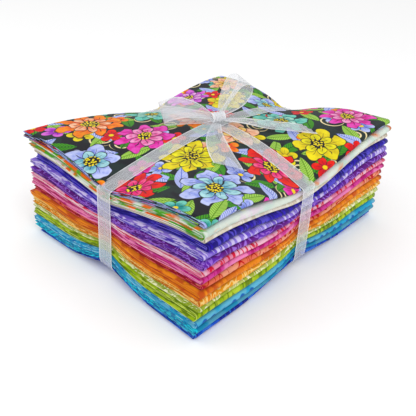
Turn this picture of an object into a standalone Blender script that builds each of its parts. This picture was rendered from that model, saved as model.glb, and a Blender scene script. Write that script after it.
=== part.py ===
"""Bundle of sixteen folded cuts of quilting cotton, tied both ways with sheer ribbon in a bow.

Metres, +Z up. The origin is at the middle of the underside. The round folds of the cuts face +X
and their layered edges face -Y. Each cut is one sheet that runs back and forth through four layers.
"""
import math
from collections import namedtuple

import bmesh
import bpy
from mathutils import Vector

MM = 0.001

# The folded cuts
FOLD_WIDTH = 229 * MM
FOLD_DEPTH = 279 * MM
STACK_HEIGHT = 106 * MM
LAYERS_PER_CUT = 4
SHEET_THICKNESS = 1.2 * MM
CUT_GAP = 0.75 * MM
FOLD_STEPS = 4
TUCKED_FOLD_STEPS = 2
# How far the inner fold stops short of the wide one, and the two free edges of the -X side
TUCK_SHORT = 3.5 * MM
OUTER_EDGE_INSET = 1.5 * MM
INNER_EDGE_INSET = 3.0 * MM

# Heights of the tied stack: free at its corners, drawn in where the ribbon crosses each edge
CORNER_TOPS = {(-1, -1): 106 * MM, (1, -1): 105 * MM, (1, 1): 110 * MM, (-1, 1): 103 * MM}
MIDDLE_TOP = 106 * MM
EDGE_TOPS = {"left": 88 * MM, "right": 85 * MM, "front": 89 * MM, "back": 88 * MM}
EDGE_LIFTS = {"left": 10 * MM, "right": 7 * MM, "front": 12 * MM, "back": 10 * MM}
MIDDLE_LIFT = 3.2 * MM
# Shapes of the drawn-in valleys, as shares of half the stack
VALLEY_REACH = 0.75
VALLEY_POWER = 1.5
EDGE_DROP_POWER = 2.0
FLAT_CORE = 0.45
OUTER_STATION = 0.55

# The ribbon, and its two bands, gathered to less than its full width
RIBBON_WIDTH = 22 * MM
RIBBON_THICKNESS = 1.0 * MM
RIBBON_GAP = 0.35 * MM
BAND_WIDTH = 16 * MM
BAND_LANE = 9.5 * MM
BAND_SIDE_REACH = 3.2 * MM
BAND_CORNER_RADIUS = 2.5 * MM
BAND_CORNER_STEPS = 3
CROSSING_REACH = 0.3
# Where each band crosses the edges, off the centre lines
BAND_Y_OFFSETS = {"front": 0.5 * MM, "back": -10 * MM}
BAND_X_OFFSETS = {"left": 18 * MM, "right": -3 * MM}

# The bow
KNOT_SIZE = Vector((17 * MM, 15 * MM, 10 * MM))
KNOT_SEAT = 3.1 * MM
KNOT_SIDES = 12
KNOT_RINGS = 8
BOW_CLEARANCE = 1.2 * MM
ROWS_ACROSS_RIBBON = 3
LOOP_STEPS = 3
TAIL_STEPS = 2
TAIL_SLANT = 16 * MM

COTTON_ROUGHNESS = 0.85
ORGANZA_COLOUR = "#F4F5F6"
ORGANZA_ROUGHNESS = 0.55
ORGANZA_ALPHA = 0.6

# One row a cut, from the bottom up. Loft is its share of the height. Its shift off the centre and
# what it is longer than the fold are in mm.
Cut = namedtuple("Cut", "name colour loft shift_x shift_y longer_x longer_y")
CUTS = (
    Cut("royal_blue", "#2F4FBF", 1.05, -1.0, 1.0, -3.0, -2.0),
    Cut("steel_teal", "#4F93B4", 1.00, 0.5, 0.0, 0.0, 0.0),
    Cut("light_teal", "#6FB6D6", 1.00, 1.0, -0.5, -1.0, 1.0),
    Cut("lime", "#9CBA2C", 1.08, 0.0, 0.5, 1.0, -1.0),
    Cut("light_green", "#C5CF8A", 0.90, -1.0, 0.0, 0.0, 0.0),
    Cut("golden", "#F0B65A", 1.02, 0.5, 1.0, -1.0, 0.0),
    Cut("dark_orange", "#D77A1C", 1.00, 1.0, 0.0, 1.0, -1.0),
    Cut("peach", "#EFB59A", 1.04, -0.5, -1.0, 0.0, 1.0),
    Cut("hot_pink", "#D9509A", 0.88, 0.0, 0.0, -1.0, 0.0),
    Cut("light_pink", "#F3C2D2", 1.00, 1.0, 0.5, 0.0, 1.0),
    Cut("purple", "#6A3BB0", 1.04, -1.0, 1.0, 1.0, 0.0),
    Cut("lilac", "#9A86DC", 1.00, 0.5, -0.5, 0.0, -1.0),
    Cut("indigo", "#3A2FB0", 1.02, 1.0, 0.0, -1.0, 1.0),
    Cut("cream", "#E8DFD1", 0.96, -1.0, -1.0, 0.0, 0.0),
    Cut("mint", "#DFE7DD", 1.00, 0.5, -1.0, 1.5, 1.0),
    Cut("floral", "#1D1F2B", 1.00, -0.5, 0.0, -1.0, 0.0),
)

# A loop's course: how far out from the knot and how far to its side in mm, and the share of the
# ribbon's width that is spread there
LoopPoint = namedtuple("LoopPoint", "out side spread")
LOOP_POINTS = (
    LoopPoint(0.0, -1.2, 0.36),
    LoopPoint(12.0, -5.0, 0.64),
    LoopPoint(30.0, -8.0, 0.95),
    LoopPoint(45.5, -6.0, 1.0),
    LoopPoint(50.0, 0.0, 1.0),
    LoopPoint(45.5, 6.0, 1.0),
    LoopPoint(30.0, 8.0, 0.95),
    LoopPoint(12.0, 5.0, 0.64),
    LoopPoint(0.0, 1.2, 0.36),
)
Loop = namedtuple("Loop", "name out width_way")
LOOPS = (
    Loop("ribbon_loop_left", (-0.70, -0.71, 0.04), (-0.60, 0.20, 0.77)),
    Loop("ribbon_loop_back", (-0.03, 0.93, 0.36), (0.90, 0.18, -0.39)),
)

# A loose end's course: plan place and height above the cloth in mm, and the spread of its width
TailPoint = namedtuple("TailPoint", "x y lift spread")
TAILS = {
    "ribbon_tail_front": (
        TailPoint(3.2, -0.4, 6.0, 0.36),
        TailPoint(12.0, -10.0, 2.6, 0.68),
        TailPoint(28.0, -22.0, 1.2, 0.91),
        TailPoint(47.0, -33.0, 1.2, 1.0),
        TailPoint(64.0, -40.0, 1.2, 0.91),
    ),
    "ribbon_tail_right": (
        TailPoint(1.6, 14.6, 6.5, 0.36),
        TailPoint(13.0, 28.0, 5.0, 0.73),
        TailPoint(31.0, 43.0, 3.6, 1.0),
        TailPoint(50.0, 58.0, 2.6, 1.0),
        TailPoint(66.0, 68.0, 1.4, 0.91),
    ),
}

HALF_WIDTH = FOLD_WIDTH / 2
HALF_DEPTH = FOLD_DEPTH / 2
UNSKEW_STEPS = 20
WELD_DISTANCE = 0.00001


def stations_for(half):
    """The lines across the stack on which every sheet has its points, as shares of half its size."""
    lane = BAND_LANE / half
    return (-1.0, -OUTER_STATION, -lane, lane, OUTER_STATION, 1.0)


STATIONS_X = stations_for(HALF_WIDTH)
STATIONS_Y = stations_for(HALF_DEPTH)


def mix(low, high, share):
    return low + (high - low) * share


def valley(off_line):
    """Share of an edge's full drop left at this distance from its band's lane."""
    return max(0.0, 1.0 - off_line / VALLEY_REACH) ** VALLEY_POWER


def free_top(u, v):
    """Top height of the stack before it is tied, u and v from -1 to 1 across it."""
    front = mix(CORNER_TOPS[(-1, -1)], CORNER_TOPS[(1, -1)], (u + 1) / 2)
    back = mix(CORNER_TOPS[(-1, 1)], CORNER_TOPS[(1, 1)], (u + 1) / 2)
    crown = MIDDLE_TOP - sum(CORNER_TOPS.values()) / len(CORNER_TOPS)
    return mix(front, back, (v + 1) / 2) + crown * (1 - u * u) * (1 - v * v)


def tied_top(u, v):
    u_side = "right" if u > 0 else "left"
    v_side = "back" if v > 0 else "front"
    u_drop = free_top(math.copysign(1, u), 0) - EDGE_TOPS[u_side]
    v_drop = free_top(0, math.copysign(1, v)) - EDGE_TOPS[v_side]
    off_x_band = max(0.0, abs(v) - BAND_LANE / HALF_DEPTH)
    off_y_band = max(0.0, abs(u) - BAND_LANE / HALF_WIDTH)
    height = free_top(u, v)
    height -= u_drop * abs(u) ** EDGE_DROP_POWER * valley(off_x_band)
    height -= v_drop * abs(v) ** EDGE_DROP_POWER * valley(off_y_band)
    return height


def tied_bottom(u, v):
    """The underside lies flat in its four quarters and lifts along the bands' lines."""
    on_y_band = abs(u) < OUTER_STATION
    on_x_band = abs(v) < OUTER_STATION
    if not on_x_band and not on_y_band:
        return 0.0
    if on_x_band and on_y_band:
        return MIDDLE_LIFT
    if on_x_band:
        edge = EDGE_LIFTS["right" if u > 0 else "left"]
        along = abs(u)
    else:
        edge = EDGE_LIFTS["back" if v > 0 else "front"]
        along = abs(v)
    return mix(MIDDLE_LIFT, edge, (along - FLAT_CORE) / (1 - FLAT_CORE))


TOP_GRID = [[tied_top(u, v) for v in STATIONS_Y] for u in STATIONS_X]
BOTTOM_GRID = [[tied_bottom(u, v) for v in STATIONS_Y] for u in STATIONS_X]


def cell_of(value, stations):
    """The cell this value is in, as its station nearer the middle, its other one, and the share between."""
    last_cell = len(stations) - 2
    index = sum(value >= station for station in stations[1:-1])
    index = min(index, last_cell)
    share = (value - stations[index]) / (stations[index + 1] - stations[index])
    if stations[index + 1] < 0:
        return index + 1, index, 1 - share
    return index, index + 1, share


def grid_height(grid, x, y):
    """Height on a grid of heights whose cells are each cut in two from the middle outwards."""
    near_i, far_i, s = cell_of(x / HALF_WIDTH, STATIONS_X)
    near_j, far_j, t = cell_of(y / HALF_DEPTH, STATIONS_Y)
    near = grid[near_i][near_j]
    far = grid[far_i][far_j]
    if s >= t:
        beside = grid[far_i][near_j]
        return near + s * (beside - near) + t * (far - beside)
    beside = grid[near_i][far_j]
    return near + t * (beside - near) + s * (far - beside)


def skewed(x, y):
    """Plan position after the tie has pulled the two centre lines a little off square."""
    u = min(1.0, abs(x) / HALF_WIDTH)
    v = min(1.0, abs(y) / HALF_DEPTH)
    shift_x = mix(BAND_Y_OFFSETS["front"], BAND_Y_OFFSETS["back"], (y / HALF_DEPTH + 1) / 2)
    shift_y = mix(BAND_X_OFFSETS["left"], BAND_X_OFFSETS["right"], (x / HALF_WIDTH + 1) / 2)
    return x + shift_x * (1 - u), y + shift_y * (1 - v)


def unskewed(x, y):
    """The square plan position that skewed() moves to this one, found by stepping closer."""
    flat_x = x
    flat_y = y
    for _ in range(UNSKEW_STEPS):
        moved_x, moved_y = skewed(flat_x, flat_y)
        flat_x += x - moved_x
        flat_y += y - moved_y
    return flat_x, flat_y


def stack_point(x, y, share):
    """A point of the tied stack, with share from 0 at its underside to 1 at its top."""
    low = grid_height(BOTTOM_GRID, x, y)
    high = grid_height(TOP_GRID, x, y)
    plan_x, plan_y = skewed(x, y)
    return Vector((plan_x, plan_y, mix(low, high, share)))


def top_height_at(x, y):
    return grid_height(TOP_GRID, *unskewed(x, y))


def linear(channel):
    return channel / 12.92 if channel <= 0.04045 else ((channel + 0.055) / 1.055) ** 2.4


def colour_of(hex_code):
    channels = [int(hex_code[i:i + 2], 16) / 255 for i in (1, 3, 5)]
    return (*[linear(channel) for channel in channels], 1.0)


def cloth_material(name, hex_code, roughness, alpha=1.0):
    material = bpy.data.materials.new(name)
    material.use_nodes = True
    surface = material.node_tree.nodes["Principled BSDF"]
    surface.inputs["Base Color"].default_value = colour_of(hex_code)
    surface.inputs["Roughness"].default_value = roughness
    surface.inputs["Metallic"].default_value = 0.0
    surface.inputs["Alpha"].default_value = alpha
    material.diffuse_color = colour_of(hex_code)
    return material


def add_object(name, mesh, material):
    piece = bpy.data.objects.new(name, mesh)
    bpy.data.collections["fabric_bundle"].objects.link(piece)
    mesh.materials.append(material)
    return piece


def sheet_mesh(name, columns, rows, place, thickness, closed=False):
    """Bend a grid by place(column, row), weld it if it closes on itself, and give it its thickness."""
    shape = bmesh.new()
    bmesh.ops.create_grid(shape, x_segments=columns - 1, y_segments=rows - 1, size=1.0)
    for vertex in shape.verts:
        column = round((vertex.co.x + 1) / 2 * (columns - 1))
        row = round((vertex.co.y + 1) / 2 * (rows - 1))
        vertex.co = place(column, row)
    if closed:
        bmesh.ops.remove_doubles(shape, verts=shape.verts, dist=WELD_DISTANCE)
    bmesh.ops.recalc_face_normals(shape, faces=shape.faces)
    flat = bpy.data.meshes.new(name + "_flat")
    shape.to_mesh(flat)
    shape.free()
    holder = bpy.data.objects.new(name + "_flat", flat)
    bpy.data.collections["fabric_bundle"].objects.link(holder)
    wall = holder.modifiers.new("thickness", "SOLIDIFY")
    wall.thickness = thickness
    wall.offset = 0.0
    wall.use_even_offset = True
    evaluated = holder.evaluated_get(bpy.context.evaluated_depsgraph_get())
    mesh = bpy.data.meshes.new_from_object(evaluated)
    mesh.name = name
    bpy.data.objects.remove(holder)
    bpy.data.meshes.remove(flat)
    return mesh


def split_along_ridges(shape):
    """Cut each four-sided face from its corner nearest the stack's middle to its farthest one."""

    def place_in_order(vertex):
        reach = abs(vertex.co.x) / HALF_WIDTH + abs(vertex.co.y) / HALF_DEPTH
        return round(reach, 5), vertex.co.x, vertex.co.y

    for face in [face for face in shape.faces if len(face.verts) == 4]:
        corners = sorted(face.verts, key=place_in_order)
        near, far = corners[0], corners[-1]
        if not any(far in edge.verts and near in edge.verts for edge in face.edges):
            bmesh.utils.face_split(face, near, far)


def fold_arc(centre_x, low, high, side, steps):
    """Points of a round fold between two layers, low to high, bulging to this side."""
    radius = (high - low) / 2
    middle = (high + low) / 2
    points = []
    for step in range(1, steps):
        angle = -math.pi / 2 + math.pi * step / steps
        points.append((centre_x + side * radius * math.cos(angle), middle + radius * math.sin(angle)))
    return points


def fold_path(left, right, layers):
    """Section of one folded cut, from its first free edge to its last.

    It has a wide fold at +X, a tucked fold at -X, and a small fold inside the wide one.
    """
    first, second, third, fourth = layers
    wide = (fourth - first) / 2
    small = (third - second) / 2
    turn = (fourth - third) / 2
    inner = right - wide - TUCK_SHORT
    outward = [u * HALF_WIDTH for u in STATIONS_X[1:-1]]
    homeward = outward[::-1]

    def run(height, start, stations, stop):
        return [(x, height) for x in (start, *stations, stop)]

    path = run(first, left + OUTER_EDGE_INSET, outward, right - wide)
    path += fold_arc(right - wide, first, fourth, 1, FOLD_STEPS)
    path += run(fourth, right - wide, homeward, left + turn)
    path += reversed(fold_arc(left + turn, third, fourth, -1, TUCKED_FOLD_STEPS))
    path += run(third, left + turn, outward, inner - small)
    path += reversed(fold_arc(inner - small, second, third, 1, TUCKED_FOLD_STEPS))
    path += run(second, inner - small, homeward, left + INNER_EDGE_INSET)
    return path


def folded_cut(cut, share_low, share_high):
    """One cut between two shares of the stack's height: folded flat, then laid into the tied stack."""
    thickness = SHEET_THICKNESS * cut.loft
    low = STACK_HEIGHT * share_low + (CUT_GAP + thickness) / 2
    high = STACK_HEIGHT * share_high - (CUT_GAP + thickness) / 2
    layers = [mix(low, high, n / (LAYERS_PER_CUT - 1)) for n in range(LAYERS_PER_CUT)]
    left = -HALF_WIDTH + (cut.shift_x - cut.longer_x / 2) * MM
    right = HALF_WIDTH + (cut.shift_x + cut.longer_x / 2) * MM
    front = -HALF_DEPTH + (cut.shift_y - cut.longer_y / 2) * MM
    back = HALF_DEPTH + (cut.shift_y + cut.longer_y / 2) * MM
    path = fold_path(left, right, layers)
    across = [front] + [v * HALF_DEPTH for v in STATIONS_Y[1:-1]] + [back]

    def place(column, row_index):
        x, height = path[column]
        return Vector((x, across[row_index], height))

    mesh = sheet_mesh(cut.name, len(path), len(across), place, thickness)
    shape = bmesh.new()
    shape.from_mesh(mesh)
    split_along_ridges(shape)
    lowest = CUT_GAP / 2
    for vertex in shape.verts:
        share = (vertex.co.z - lowest) / (STACK_HEIGHT - CUT_GAP)
        vertex.co = stack_point(vertex.co.x, vertex.co.y, share)
    shape.to_mesh(mesh)
    shape.free()
    material = cloth_material("cotton_" + cut.name, cut.colour, COTTON_ROUGHNESS)
    return add_object("cut_" + cut.name, mesh, material)


def corner_arc(centre, radius, start):
    """Points of a quarter turn, counted clockwise seen from -Y, for a band going over an edge."""
    points = []
    for step in range(BAND_CORNER_STEPS + 1):
        angle = start - math.pi / 2 * step / BAND_CORNER_STEPS
        points.append((centre[0] + radius * math.cos(angle), centre[1] + radius * math.sin(angle)))
    return points


def band_section(axis, line, crossing_lift):
    """Closed section of a band around the stack: along its axis and up. Line is its place across.

    The band that crosses over the other one stands off by crossing_lift near the middle.
    """
    half = HALF_WIDTH if axis == "x" else HALF_DEPTH
    stations = [s * half for s in (STATIONS_X if axis == "x" else STATIONS_Y)[1:-1]]
    radius = BAND_CORNER_RADIUS
    turn = half + BAND_SIDE_REACH - radius
    skin = RIBBON_GAP + RIBBON_THICKNESS / 2

    def height(grid, along):
        return grid_height(grid, along, line) if axis == "x" else grid_height(grid, line, along)

    def stand_off(along):
        return skin + (crossing_lift if abs(along) < half * CROSSING_REACH else 0.0)

    def over(along):
        return height(TOP_GRID, along) + stand_off(along)

    def under(along):
        return height(BOTTOM_GRID, along) - stand_off(along)

    section = [(s, over(s)) for s in stations]
    section += corner_arc((turn, over(turn) - radius), radius, math.pi / 2)
    section += corner_arc((turn, under(turn) + radius), radius, 0.0)
    section += [(s, under(s)) for s in reversed(stations)]
    section += corner_arc((-turn, under(-turn) + radius), radius, -math.pi / 2)
    section += corner_arc((-turn, over(-turn) - radius), radius, math.pi)
    return section + section[:1]


def band(name, axis, crossing_lift, material):
    sides = (-BAND_WIDTH / 2, BAND_WIDTH / 2)
    sections = [band_section(axis, side, crossing_lift) for side in sides]

    def place(column, row):
        along, height = sections[row][column]
        plan = skewed(along, sides[row]) if axis == "x" else skewed(sides[row], along)
        return Vector((*plan, height))

    mesh = sheet_mesh(name, len(sections[0]), len(sides), place, RIBBON_THICKNESS, closed=True)
    return add_object(name, mesh, material)


def smooth_route(points, steps):
    """A smooth curve through hand-placed points, with this many steps between each two."""
    ends = [points[0] * 2 - points[1]] + list(points) + [points[-1] * 2 - points[-2]]
    route = []
    for before, start, stop, after in zip(ends, ends[1:], ends[2:], ends[3:]):
        for step in range(steps):
            t = step / steps
            pull = (stop - before) * t + (before * 2 - start * 5 + stop * 4 - after) * t ** 2
            route.append(start + (pull + (start * 3 - before - stop * 3 + after) * t ** 3) / 2)
    return route + [points[-1]]


def above_cloth(point):
    """The same point, raised where it would go into the top cut."""
    floor = top_height_at(point.x, point.y) + BOW_CLEARANCE
    return Vector((point.x, point.y, max(point.z, floor)))


def knot(centre, material):
    shape = bmesh.new()
    bmesh.ops.create_uvsphere(shape, u_segments=KNOT_SIDES, v_segments=KNOT_RINGS, radius=0.5)
    for vertex in shape.verts:
        vertex.co = centre + Vector(vertex.co[i] * KNOT_SIZE[i] for i in range(3))
    mesh = bpy.data.meshes.new("ribbon_knot")
    shape.to_mesh(mesh)
    shape.free()
    return add_object("ribbon_knot", mesh, material)


def bow_loop(loop, centre, material):
    """A strip that leaves the knot, turns over at its far end and comes back."""
    out = Vector(loop.out).normalized()
    width_way = Vector(loop.width_way).normalized()
    side = width_way.cross(out).normalized()
    knot_radius = 1 / math.sqrt(sum((2 * out[i] / KNOT_SIZE[i]) ** 2 for i in range(3)))
    root = centre + out * (knot_radius + RIBBON_GAP)
    course = [root + out * (point.out * MM) + side * (point.side * MM) for point in LOOP_POINTS]
    middle = smooth_route(course, LOOP_STEPS)
    spreads = smooth_route([Vector((point.spread, 0, 0)) for point in LOOP_POINTS], LOOP_STEPS)

    def place(column, row):
        off_middle = row / (ROWS_ACROSS_RIBBON - 1) - 0.5
        return above_cloth(middle[column] + width_way * (RIBBON_WIDTH * spreads[column].x * off_middle))

    mesh = sheet_mesh(loop.name, len(middle), ROWS_ACROSS_RIBBON, place, RIBBON_THICKNESS)
    return add_object(loop.name, mesh, material)


def tail(name, points, material):
    """A loose end that lies over the top from the knot, cut off on the slant."""
    course = []
    for point in points:
        x = point.x * MM
        y = point.y * MM
        course.append(Vector((x, y, top_height_at(x, y) + point.lift * MM)))
    middle = smooth_route(course, TAIL_STEPS)
    spreads = smooth_route([Vector((point.spread, 0, 0)) for point in points], TAIL_STEPS)
    last = len(middle) - 1

    def place(column, row):
        off_middle = row / (ROWS_ACROSS_RIBBON - 1) - 0.5
        along = (middle[min(last, column + 1)] - middle[max(0, column - 1)]).normalized()
        across = along.cross(Vector((0, 0, 1))).normalized()
        point = middle[column] + across * (RIBBON_WIDTH * spreads[column].x * off_middle)
        if column == last:
            point += along * TAIL_SLANT * off_middle
        return above_cloth(point)

    mesh = sheet_mesh(name, len(middle), ROWS_ACROSS_RIBBON, place, RIBBON_THICKNESS)
    return add_object(name, mesh, material)


def build():
    for leftover in list(bpy.data.objects):
        bpy.data.objects.remove(leftover)
    parts = bpy.data.collections.new("fabric_bundle")
    bpy.context.scene.collection.children.link(parts)

    whole_loft = sum(cut.loft for cut in CUTS)
    below = 0.0
    for cut in CUTS:
        above = below + cut.loft / whole_loft
        folded_cut(cut, below, above)
        below = above

    organza = cloth_material("organza_white", ORGANZA_COLOUR, ORGANZA_ROUGHNESS, ORGANZA_ALPHA)
    band("ribbon_band_x", "x", 0.0, organza)
    band("ribbon_band_y", "y", RIBBON_THICKNESS + RIBBON_GAP, organza)
    knot_height = grid_height(TOP_GRID, 0.0, 0.0) + KNOT_SEAT + KNOT_SIZE.z / 2
    centre = Vector((*skewed(0.0, 0.0), knot_height))
    knot(centre, organza)
    for loop in LOOPS:
        bow_loop(loop, centre, organza)
    for name, points in TAILS.items():
        tail(name, points, organza)


if __name__ == "__main__":
    build()
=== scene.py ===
import math

import bpy
import numpy as np
from mathutils import Matrix, Vector


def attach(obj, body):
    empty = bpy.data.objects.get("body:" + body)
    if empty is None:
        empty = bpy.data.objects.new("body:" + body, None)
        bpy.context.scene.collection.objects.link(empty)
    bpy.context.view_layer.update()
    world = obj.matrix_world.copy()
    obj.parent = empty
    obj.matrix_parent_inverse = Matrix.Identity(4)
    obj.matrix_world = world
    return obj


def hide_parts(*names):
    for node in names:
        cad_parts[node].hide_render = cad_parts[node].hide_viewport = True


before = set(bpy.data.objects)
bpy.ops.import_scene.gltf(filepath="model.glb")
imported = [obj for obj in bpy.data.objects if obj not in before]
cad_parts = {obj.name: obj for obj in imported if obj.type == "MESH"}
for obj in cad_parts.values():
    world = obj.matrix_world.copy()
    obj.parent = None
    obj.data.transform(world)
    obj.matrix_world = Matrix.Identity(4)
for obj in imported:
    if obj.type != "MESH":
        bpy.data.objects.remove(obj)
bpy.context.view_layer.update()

# Blue cuts, the three lowest of sixteen. Each cut is half a yard of printed quilting cotton, 18 by 44
# inches, folded to 9 by 11 inches in eight layers: one wide round fold at +X, open edges at -X, and
# layer edges on both ends. The ribbon draws the whole stack in at the middle of each edge.
MM = 0.001
FOLD_WIDTH = 229 * MM
FOLD_DEPTH = 279 * MM
STACK_HEIGHT = 106 * MM
STACK_LOFT = 15.99  # the sixteen cuts' lofts together, about 1 each
CLOTH_THICKNESS = 0.4 * MM
CUT_GAP = 0.75 * MM

# Shape of the tied stack: its top at the four corners and at the middles of its edges, left to right
CORNER_TOPS = {"front": (106 * MM, 105 * MM), "back": (103 * MM, 110 * MM)}
MIDDLE_TOP = 106 * MM
EDGE_TOPS = {"left": 88 * MM, "right": 85 * MM, "front": 89 * MM, "back": 88 * MM}
EDGE_LIFTS = {"left": 10 * MM, "right": 10 * MM, "front": 13 * MM, "back": 10 * MM}
MIDDLE_LIFT = 3.2 * MM
BAND_LANE = 9.5 * MM
# How far the bands' valleys reach along each edge, in shares of half of it
VALLEY_REACH = 0.75
BACK_VALLEY_REACH = 0.62
UNDERSIDE_REACH = 0.48
VALLEY_POWER = 1.5
BAND_Y_OFFSETS = {"front": 0.5 * MM, "back": -10 * MM}
BAND_X_OFFSETS = {"left": 18 * MM, "right": -3 * MM}
LEAN = (-0.027, 0.056)  # sideways shift of the stack for each unit of height
LEAN_PIVOT = 50 * MM
FRONT_FOOT = (1.5 * MM, -5.0 * MM)  # how far the lowest cuts' front right corner has slid out
FOOT_SHARE = 0.45  # share of the stack's height up to where they have slid
# Main creases of the top, from the knot outwards: start and end in mm, width and depth in mm
CREASES = (
    (14, -20, 62, -92, 9, 1.3),
    (-22, -16, -88, -70, 10, 1.1),
    (-30, 24, -84, 84, 9, 0.9),
    (26, 24, 92, 60, 8, 1.0),
    (10, 40, 34, 118, 10, 1.0),
    (34, -8, 104, -34, 7, 0.8),
)
CREASE_FADE = 5  # the power by which the creases fade downwards


def mix(low, high, share):
    return low + (high - low) * share


def valley(off_line, reach):
    """Share of an edge's full drop at this distance from its band, with a rounded floor."""
    lane = BAND_LANE / (FOLD_DEPTH / 2)
    beyond = np.sqrt(off_line**2 + lane**2) - lane
    return np.clip(1 - beyond / reach, 0, None) ** VALLEY_POWER


def free_top(u, v):
    """Height of the top if nothing drew its edges in."""
    front = mix(*CORNER_TOPS["front"], (u + 1) / 2)
    back = mix(*CORNER_TOPS["back"], (u + 1) / 2)
    corners = (*CORNER_TOPS["front"], *CORNER_TOPS["back"])
    crown = MIDDLE_TOP - sum(corners) / len(corners)
    return mix(front, back, (v + 1) / 2) + crown * (1 - u * u) * (1 - v * v)


def height_in_stack(x, y, share):
    """Height of a point of the tied stack. Share is 0 on its underside and 1 on its top."""
    u = np.clip(x / (FOLD_WIDTH / 2), -1, 1)
    v = np.clip(y / (FOLD_DEPTH / 2), -1, 1)
    u_top = np.where(u > 0, EDGE_TOPS["right"], EDGE_TOPS["left"])
    v_top = np.where(v > 0, EDGE_TOPS["back"], EDGE_TOPS["front"])
    u_lift = np.where(u > 0, EDGE_LIFTS["right"], EDGE_LIFTS["left"])
    v_lift = np.where(v > 0, EDGE_LIFTS["back"], EDGE_LIFTS["front"])
    top = free_top(u, v)
    top = top - (free_top(np.sign(u), 0) - u_top) * u**2 * valley(v, VALLEY_REACH)
    reach = np.where(v > 0, BACK_VALLEY_REACH, VALLEY_REACH)
    top = top - (free_top(0, np.sign(v)) - v_top) * v**2 * valley(u, reach)
    on_x_band = valley(v, UNDERSIDE_REACH)
    on_y_band = valley(u, UNDERSIDE_REACH)
    bottom = on_x_band * mix(MIDDLE_LIFT, u_lift, u**2)
    bottom = np.maximum(bottom, on_y_band * mix(MIDDLE_LIFT, v_lift, v**2))
    dent = np.zeros(np.shape(x))
    for x0, y0, x1, y1, width, depth in CREASES:
        start = np.array((x0, y0)) * MM
        way = np.array((x1 - x0, y1 - y0)) * MM
        along = np.clip(((x - start[0]) * way[0] + (y - start[1]) * way[1]) / (way @ way), 0, 1)
        off = np.hypot(x - start[0] - along * way[0], y - start[1] - along * way[1])
        dent = dent + depth * MM * np.exp(-((off / (width * MM)) ** 2)) * np.sin(math.pi * along)
    return mix(bottom, top, share) - dent * share**CREASE_FADE


def tied(points):
    """Moves points of the flat, square stack to where they are once it is tied."""
    x, y, z = points.T
    half_width = FOLD_WIDTH / 2
    half_depth = FOLD_DEPTH / 2
    share = z / STACK_HEIGHT
    height = height_in_stack(x, y, share)
    shift_x = mix(BAND_Y_OFFSETS["front"], BAND_Y_OFFSETS["back"], (y / half_depth + 1) / 2)
    shift_y = mix(BAND_X_OFFSETS["left"], BAND_X_OFFSETS["right"], (x / half_width + 1) / 2)
    near_x = 1 - np.clip((x / half_width) ** 2, 0, 1)
    near_y = 1 - np.clip((y / half_depth) ** 2, 0, 1)
    slid = (np.clip((x / half_width + 1) / 2, 0, 1) * np.clip((1 - y / half_depth) / 2, 0, 1)) ** 3
    slid = slid * np.clip(1 - share / FOOT_SHARE, 0, 1)
    plan_x = x + shift_x * near_x + LEAN[0] * (height - LEAN_PIVOT) + FRONT_FOOT[0] * slid
    plan_y = y + shift_y * near_y + LEAN[1] * (height - LEAN_PIVOT) + FRONT_FOOT[1] * slid
    return np.stack((plan_x, plan_y, height), axis=1)


NOISE = "ShaderNodeTexNoise"


def fill(tree, node, inputs):
    """Fills a node's inputs, by name or in order. A socket is linked, and any other is a value."""
    given = inputs.items() if isinstance(inputs, dict) else enumerate(inputs)
    for key, value in given:
        if isinstance(value, bpy.types.NodeSocket):
            tree.links.new(value, node.inputs[key])
        else:
            node.inputs[key].default_value = value


def add(tree, kind, inputs=(), **settings):
    """Adds a node with its settings and inputs, and returns its outputs. The kind is the node's type,
    or for a Math node its operation, in capitals."""
    if kind.isupper():
        settings["operation"] = kind
        kind = "ShaderNodeMath"
    made = tree.nodes.new(kind)
    for name, value in settings.items():
        setattr(made, name, value)
    fill(tree, made, inputs)
    return made.outputs


MERGE_REACH = 0.01 * MM


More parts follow.
